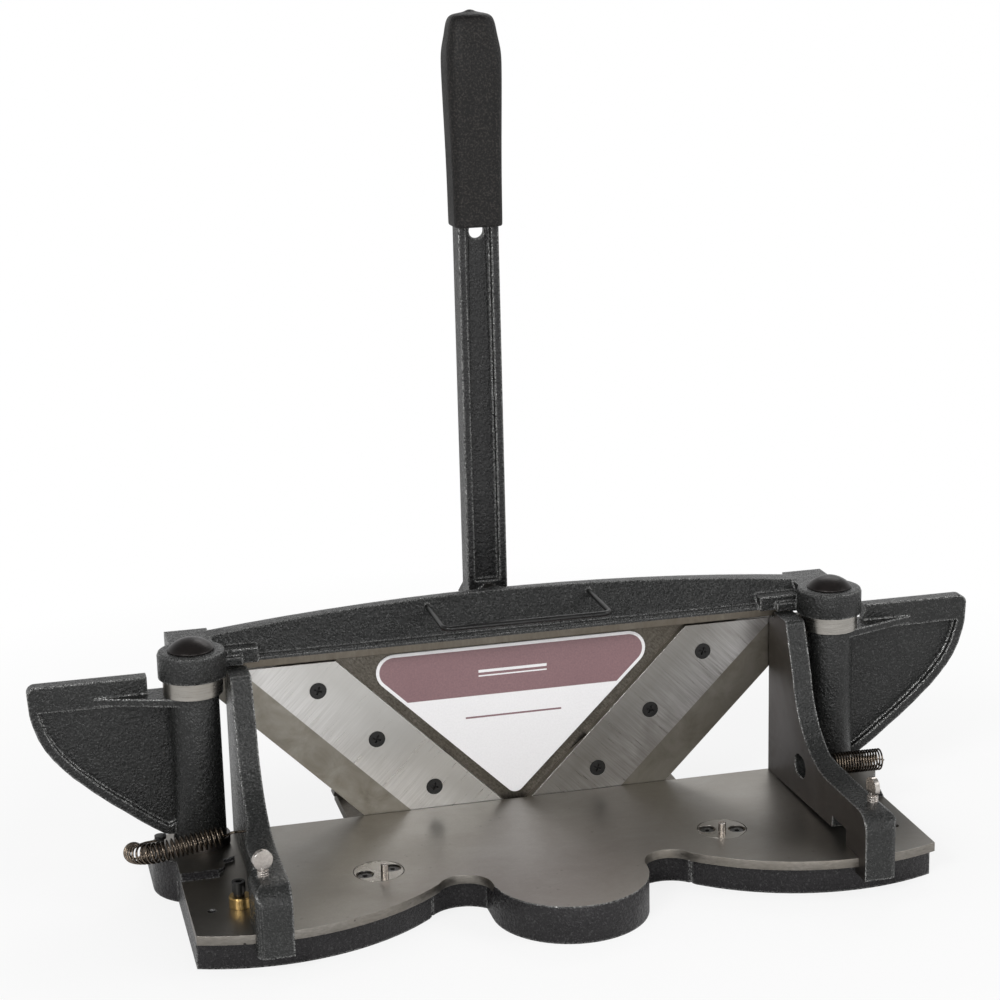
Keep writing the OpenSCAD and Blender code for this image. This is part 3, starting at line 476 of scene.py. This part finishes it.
def swept(points, radius, sides):
    """Vertices and faces of a round tube along points, with closed ends."""
    pts = [Vector(p) for p in points]
    tangents = [(pts[min(i + 1, len(pts) - 1)] - pts[max(i - 1, 0)]).normalized()
                for i in range(len(pts))]
    up = tangents[0].orthogonal().normalized()
    verts, faces = [], []
    for p, t in zip(pts, tangents):
        up = (up - t * up.dot(t)).normalized()
        side = t.cross(up)
        verts += [p + radius * (up * math.cos(a) + side * math.sin(a))
                  for a in (2 * math.pi * k / sides for k in range(sides))]
    for i in range(len(pts) - 1):
        for k in range(sides):
            a, b = i * sides + k, i * sides + (k + 1) % sides
            faces.append((a, b, b + sides, a + sides))
    faces.append(tuple(range(sides))[::-1])
    faces.append(tuple(range(len(verts) - sides, len(verts))))
    return verts, faces


# springs: the centre lines of the solids, wound with rounder wire; the right one's tail to its
# anchor starts up to 3 mm further in
HOOK = (-56.6, 22.6)
ANCHOR = (226.0, -12.0)
PER_TURN = 24             # points in one curl
FADE = 0.5                # turns over which a coil's ends draw in to END_R of its radius
END_R = 0.4
WIRE_SIDES = 10


def spring_line(q, r, n1, n2):
    """Coil of radius r with n1 turns on its straight run and n2 round its bend.

    q holds the start x, the run's y, the far x, the bend's radius, the start height, the two
    amounts that the height falls by (even, and growing) and the y of the end.
    """
    x0, yf, xe, turn_r, z0, fall_1, fall_2, y1 = q
    run = xe - turn_r - x0
    turn = turn_r * math.pi / 2
    total = run + turn + y1 - yf - turn_r

    def centre(s):
        t = min(1, max(0, s / total))
        z = z0 - fall_1 * t - fall_2 * t * t
        if s < run:
            return Vector((x0 + s, yf, z))
        a = (s - run) / turn_r
        if a < math.pi / 2:
            return Vector((xe - turn_r + turn_r * math.sin(a),
                           yf + turn_r - turn_r * math.cos(a), z))
        return Vector((xe, yf + turn_r + s - run - turn, z))

    line = []
    steps = (n1 + n2) * PER_TURN
    for i in range(steps + 1):
        f = i / PER_TURN
        s = run * f / n1 if f <= n1 else run + (total - run) * (f - n1) / n2
        t = (centre(s + 1) - centre(s - 1)).normalized()
        u = t.cross(Vector((0, 0, 1))).normalized()
        w = u.cross(t)
        k = min(1.0, min(f, n1 + n2 - f) / FADE)
        a = 2 * math.pi * f
        line.append(centre(s) + r * (END_R + (1 - END_R) * k) * (u * math.cos(a) + w * math.sin(a)))
    return line


CURVE_STEPS = 6


def rounded(points):
    """Catmull-Rom curve through points."""
    pts = [Vector(p) for p in points]
    out = []
    for i in range(len(pts) - 1):
        p0, p1, p2, p3 = pts[max(i - 1, 0)], pts[i], pts[i + 1], pts[min(i + 2, len(pts) - 1)]
        for k in range(CURVE_STEPS):
            t = k / CURVE_STEPS
            out.append(0.5 * ((2 * p1) + (p2 - p0) * t + (2 * p0 - 5 * p1 + 4 * p2 - p3) * t * t
                              + (3 * p1 - p0 - 3 * p2 + p3) * t ** 3))
    out.append(pts[-1])
    return out


hook_start = [(175.5, *HOOK), (178, *HOOK), (184, *HOOK), (187.5, *HOOK)]
hook_end = [(232.5, ANCHOR[1] - 0.3, 4.5), (231, ANCHOR[1], 4.5), (229.6, ANCHOR[1], 4.5),
            (228.25, ANCHOR[1], 4.5)]
SPRINGS = {   # side, centre line, outer and wire diameter, turns, points to the anchor
    "left": (-1, (192, -48, 243.5, 20, 18, 7.7, 5.8, -25), 12.6, 1.4, 11, 12,
             [(243.5, -20.5, 4.5), (240, -16, 4.5), (236, -13.2, 4.5)]),
    "right": (1, (192, -48, 242, 16, 18, 1, 0, -28), 14.0, 1.15, 19, 0,
              [(228.5, -46.5, 16), (231, -37, 12.5), (233.5, -26, 8.5), (234, -17, 5.3)]),
}
for side_name, (s, q, outer_d, wire_d, n1, n2, mid) in SPRINGS.items():
    coil = spring_line(q, (outer_d - wire_d) / 2, n1, n2)
    start = rounded(hook_start + [coil[0], coil[3]])
    end = rounded([coil[-4], coil[-1]] + mid + hook_end)
    line = start[:-1 - CURVE_STEPS] + coil + end[1 + CURVE_STEPS:]
    line = [Vector((s * p.x, p.y, p.z + TABLE_Z)) for p in line]
    verts, faces = swept(line, wire_d / 2, WIRE_SIDES)
    if s < 0:
        faces = [f[::-1] for f in faces]
    coil_piece = piece(f"coil_{side_name}", verts, faces, "spring", None)
    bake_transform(coil_piece)
    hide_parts(f"spring_{side_name}")

# thread turns that show under the heads of the thumb screws
THUMB = (181.0, -140.0)
THREAD_R, THREAD_WIRE_R = 2.9, 0.42
THREAD_Z = (30.4, 31.7, 33.0)
RING_STEPS, RING_SIDES = 32, 8
for side_name, s in (("left", -1), ("right", 1)):
    verts, faces = [], []
    for z in THREAD_Z:
        ring = [(s * THUMB[0] + THREAD_R * math.cos(a), THUMB[1] + THREAD_R * math.sin(a),
                 z + TABLE_Z)
                for a in (2 * math.pi * k / RING_STEPS for k in range(RING_STEPS + 1))]
        v, f = swept(ring, THREAD_WIRE_R, RING_SIDES)
        faces += [tuple(i + len(verts) for i in face) for face in f]
        verts += v
    piece(f"thread_{side_name}", verts, faces, "nickel", f"{side_name}_thumb_screw")

# grip: a moulded sleeve with a shoulder near its top and a small nub
LEVER_Y = 74.0
GRIP_SECTIONS = [   # height above the table, width, depth, corner roundness
    (354.0, 29.6, 26.0, 6.0), (354.6, 31.0, 27.6, 6.5), (356.5, 31.2, 27.8, 6.5),
    (380, 31.6, 28.0, 7), (405, 32.6, 28.8, 7.5), (430, 34.0, 30.2, 8), (450, 35.0, 31.0, 8.5),
    (459, 35.1, 31.1, 9), (465, 33.8, 29.8, 9.5), (471, 31.4, 27.4, 9.5), (476, 30.0, 26.0, 9),
    (480, 28.2, 24.4, 9), (482.4, 25.0, 21.6, 8), (483.6, 19.6, 16.8, 6.5),
    (484.3, 11.0, 10.0, 5), (484.9, 6.6, 6.4, 3.1), (485.6, 4.4, 4.4, 2.1), (485.95, 1.4, 1.4, 0.7)]
CORNER = 7                # points round each corner
MOUTH_Z, MOUTH_HALF = 354.0, (13.05, 8.05)


def rounded_ring(z, w, d, r):
    """Points of a rounded rectangle round the lever's axis at one height."""
    ring = []
    for cx, cy, a0 in ((1, 1, 0), (-1, 1, 90), (-1, -1, 180), (1, -1, 270)):
        for k in range(CORNER):
            a = math.radians(a0 + 90 * k / (CORNER - 1))
            ring.append((cx * (w / 2 - r) + r * math.cos(a),
                         LEVER_Y + cy * (d / 2 - r) + r * math.sin(a), z + TABLE_Z))
    return ring


verts, faces = [], []
for section in GRIP_SECTIONS:
    verts += rounded_ring(*section)
ring_n = 4 * CORNER
for i in range(len(GRIP_SECTIONS) - 1):
    for k in range(ring_n):
        a, b = i * ring_n + k, i * ring_n + (k + 1) % ring_n
        faces.append((a, b, b + ring_n, a + ring_n))
faces.append(tuple(range(len(verts) - ring_n, len(verts))))
# mouth of the sleeve, which fits round the lever
mouth = [(sx * MOUTH_HALF[0], LEVER_Y + sy * MOUTH_HALF[1], MOUTH_Z + TABLE_Z)
         for sx, sy in ((1, 1), (-1, 1), (-1, -1), (1, -1))]
base_i = len(verts)
verts += mouth
for q in range(4):
    a = base_i + q
    for k in range(CORNER - 1):
        faces.append((q * CORNER + k + 1, q * CORNER + k, a))
    faces.append(((q * CORNER + CORNER) % ring_n, q * CORNER + CORNER - 1, a,
                  base_i + (q + 1) % 4))
grip = piece("hand_grip", verts, faces, "rubber", "lever_arm", ("grip",))
modifier(grip, "SUBSURF", levels=2, render_levels=2)

# ---------- rounded edges of the castings ----------
EDGE_STEPS, EDGE_ANGLE, WELD_GAP = 3, 40.0, 0.02
ROUNDED = {"bridge_casting": 2.1, "guard_left": 2.4, "guard_right": 2.4, "fence_left": 1.3,
           "fence_right": 1.3, "lever": 0.9, "base_casting": 0.5}
for node, width in ROUNDED.items():
    modifier(NODES[node], "WELD", merge_threshold=WELD_GAP * MM)
    modifier(NODES[node], "BEVEL", width=width * MM, segments=EDGE_STEPS, limit_method="ANGLE",
             angle_limit=math.radians(EDGE_ANGLE), use_clamp_overlap=True, harden_normals=True)

# ---------- floor, light, camera ----------
FADE_NEAR, FADE_FAR = 0.32, 0.62     # m from the middle, where plain white begins and is full
FLOOR_LIFT = 0.82                    # share of plain white near the object
ROOM_LOW, ROOM_TOP = 0.95, 0.28      # the room's strength at the horizon and overhead
ROOM_TOP_FROM = 0.8                  # upward part of a direction that counts as overhead
FLOOR_X, FLOOR_FRONT, FLOOR_BACK = 40, -12, 60
floor_mesh = bpy.data.meshes.new("floor")
floor_mesh.from_pydata([(-FLOOR_X, FLOOR_FRONT, 0), (FLOOR_X, FLOOR_FRONT, 0),
                        (FLOOR_X, FLOOR_BACK, 0), (-FLOOR_X, FLOOR_BACK, 0)], [], [(0, 1, 2, 3)])
floor = bpy.data.objects.new("floor", floor_mesh)
bpy.context.scene.collection.objects.link(floor)
fg = Graph("floor", rough=0.85)
fg.set("Base Color", fg.mix(fg.range(fg.noise(3, 3), 0.3, 0.7), (0.93, 0.93, 0.93),
                            (0.95, 0.95, 0.95)))
fg.set("Specular IOR Level", 0.0)
# the camera sees the floor turn to plain white away from the object
fx, fy, _ = fg.xyz()
away = fg.math("SQRT", fg.math("MULTIPLY_ADD", fx, fx, fg.math("MULTIPLY", fy, fy)))
seen = fg.math("MULTIPLY", fg.new("ShaderNodeLightPath").outputs["Is Camera Ray"],
               fg.range(away, FADE_NEAR, FADE_FAR, FLOOR_LIFT, 1.0))
plain = fg.new("ShaderNodeEmission")
plain.inputs["Strength"].default_value = 1.0
plain.inputs["Color"].default_value = (1, 1, 1, 1)
floor_mix = fg.new("ShaderNodeMixShader")
fg.put(seen, floor_mix.inputs[0])
fg.tree.links.new(fg.bsdf.outputs[0], floor_mix.inputs[1])
fg.tree.links.new(plain.outputs[0], floor_mix.inputs[2])
fg.tree.links.new(floor_mix.outputs[0], fg.out.inputs[0])
floor_mesh.materials.append(fg.mat)

world = bpy.data.worlds.new("studio")
bpy.context.scene.world = world
world.use_nodes = True
wt = world.node_tree
wt.nodes.clear()
w_out = wt.nodes.new("ShaderNodeOutputWorld")
w_mix = wt.nodes.new("ShaderNodeMixShader")
w_lit = wt.nodes.new("ShaderNodeBackground")
w_seen = wt.nodes.new("ShaderNodeBackground")
w_path = wt.nodes.new("ShaderNodeLightPath")
# the room is lighter near the horizon than overhead
w_dir = wt.nodes.new("ShaderNodeTexCoord")
w_xyz = wt.nodes.new("ShaderNodeSeparateXYZ")
w_fall = wt.nodes.new("ShaderNodeMapRange")
for value, socket in zip((0.0, ROOM_TOP_FROM, ROOM_LOW, ROOM_TOP), list(w_fall.inputs)[1:5]):
    socket.default_value = value
wt.links.new(w_dir.outputs["Generated"], w_xyz.inputs[0])
wt.links.new(w_xyz.outputs[2], w_fall.inputs[0])
wt.links.new(w_fall.outputs[0], w_lit.inputs["Strength"])
w_any = wt.nodes.new("ShaderNodeMath")
w_any.operation = "MAXIMUM"
w_lit.inputs["Color"].default_value = (1, 1, 1, 1)
w_seen.inputs["Strength"].default_value = 1.0
w_seen.inputs["Color"].default_value = (1, 1, 1, 1)
wt.links.new(w_path.outputs["Is Camera Ray"], w_any.inputs[0])
wt.links.new(w_path.outputs["Is Transmission Ray"], w_any.inputs[1])
wt.links.new(w_any.outputs[0], w_mix.inputs[0])
wt.links.new(w_lit.outputs[0], w_mix.inputs[1])
wt.links.new(w_seen.outputs[0], w_mix.inputs[2])
wt.links.new(w_mix.outputs[0], w_out.inputs[0])


def softbox(name, pos, aim, size, power):
    """A rectangular lamp at pos that faces aim, in metres and watts."""
    light = bpy.data.lights.new(name, "AREA")
    light.shape = "RECTANGLE"
    light.size, light.size_y = size
    light.energy = power
    obj = bpy.data.objects.new(name, light)
    obj.location = pos
    obj.rotation_euler = (Vector(aim) - Vector(pos)).to_track_quat("-Z", "Y").to_euler()
    bpy.context.scene.collection.objects.link(obj)


softbox("key", (-1.5, -1.7, 1.5), (0, 0, 0.12), (0.9, 0.6), 26)
softbox("front", (0.0, -2.3, 0.55), (0, 0, 0.1), (1.0, 0.4), 10)
softbox("fill", (1.7, -0.9, 1.2), (0, 0, 0.1), (0.8, 0.8), 10)
softbox("back", (0.9, 1.6, 1.7), (0, 0, 0.1), (1.4, 0.8), 8)

# camera fitted to the photograph, in radians, metres and millimetres
YAW, PITCH, ROLL = -0.239141, -0.252764, -0.0248862
CAMERA_AT = (-0.32493, -1.30571, 0.54244 + TABLE_Z * MM)
LENS, SENSOR = 81.797, 36.0
fwd = Vector((-math.sin(YAW) * math.cos(PITCH), math.cos(YAW) * math.cos(PITCH),
              math.sin(PITCH)))
right = Vector((math.cos(YAW), math.sin(YAW), 0))
up = right.cross(fwd)
right_r = math.cos(ROLL) * right + math.sin(ROLL) * up
up_r = -math.sin(ROLL) * right + math.cos(ROLL) * up
cam_data = bpy.data.cameras.new("camera")
cam_data.lens = LENS
cam_data.sensor_width = SENSOR
cam = bpy.data.objects.new("camera", cam_data)
turn = Matrix((right_r, up_r, -fwd)).transposed().to_4x4()
cam.matrix_world = Matrix.Translation(CAMERA_AT) @ turn
bpy.context.scene.collection.objects.link(cam)
bpy.context.scene.camera = cam
bpy.context.scene.view_settings.view_transform = "Standard"
